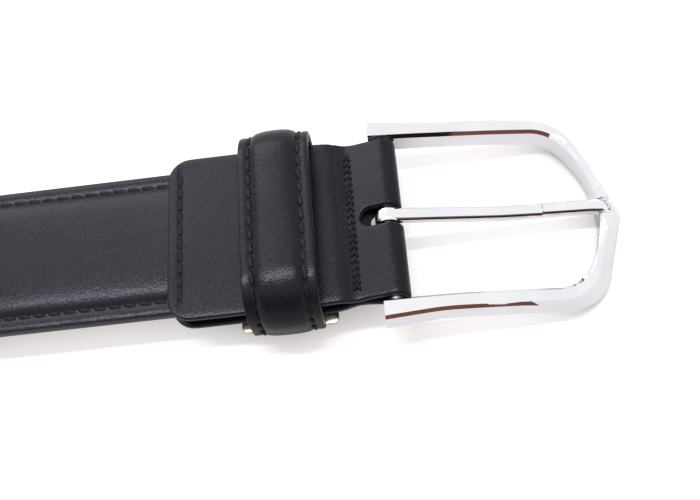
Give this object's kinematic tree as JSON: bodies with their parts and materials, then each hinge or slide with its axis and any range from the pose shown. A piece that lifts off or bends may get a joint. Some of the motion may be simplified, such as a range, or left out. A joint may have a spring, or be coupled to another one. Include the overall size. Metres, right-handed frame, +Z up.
{
  "type": "leather belt",
  "caption": "Padded and stitched dress belt with a stitched-on chape, a loop keeper and a horseshoe prong buckle, its free length rolled up.",
  "frame": {"origin": "on the resting surface, under the middle of the whole belt with its free length rolled up", "axes": "+X along the belt towards the tip of the buckle, +Y across the belt, +Z up out of the leather's face"},
  "size_m": [0.2636, 0.0434, 0.092],
  "materials": {
    "black_leather": "fine grain, soft sheen",
    "lining_leather": "plain split leather, matt",
    "bonded_board": "bonded leather board, cut edge dyed",
    "padding_felt": "felt padding, never seen",
    "waxed_thread": "twisted polyester thread, waxed",
    "polished_chrome": "bright chrome plate on die-cast zinc",
    "plain_steel": "drawn wire",
    "clip_brass": "pale plated sheet"
  },
  "bodies": {
    "belt": {"strap_face": "black_leather", "strap_padding": "padding_felt", "strap_interlining": "bonded_board", "strap_lining": "lining_leather", "strap_needle_thread": "waxed_thread", "strap_bobbin_thread": "waxed_thread", "chape_wrap": "black_leather", "chape_needle_thread": "waxed_thread", "chape_bobbin_thread": "waxed_thread", "fold_needle_thread": "waxed_thread", "fold_bobbin_thread": "waxed_thread"},
    "buckle": {"buckle_frame": "polished_chrome", "buckle_bar": "plain_steel"},
    "prong": {"buckle_prong": "polished_chrome"},
    "keeper": {"keeper_face": "black_leather", "keeper_padding": "padding_felt", "keeper_lining": "lining_leather", "keeper_clip": "clip_brass", "keeper_needle_thread": "waxed_thread", "keeper_bobbin_thread": "waxed_thread"}
  },
  "joints": [
    {"name": "buckle_swing", "type": "hinge", "parent": "belt", "child": "buckle", "pos_m": [0.08425, 0, 0.0105], "axis": [0, -1, 0], "range_deg": [-75, 35]},
    {"name": "prong_lift", "type": "hinge", "parent": "buckle", "child": "prong", "pos_m": [0.08425, 0, 0.0105], "axis": [0, -1, 0], "range_deg": [0, 80]},
    {"name": "keeper_slide", "type": "slide", "parent": "belt", "child": "keeper", "axis": [1, 0, 0], "range_m": [-0.018, 0.004]}
  ]
}
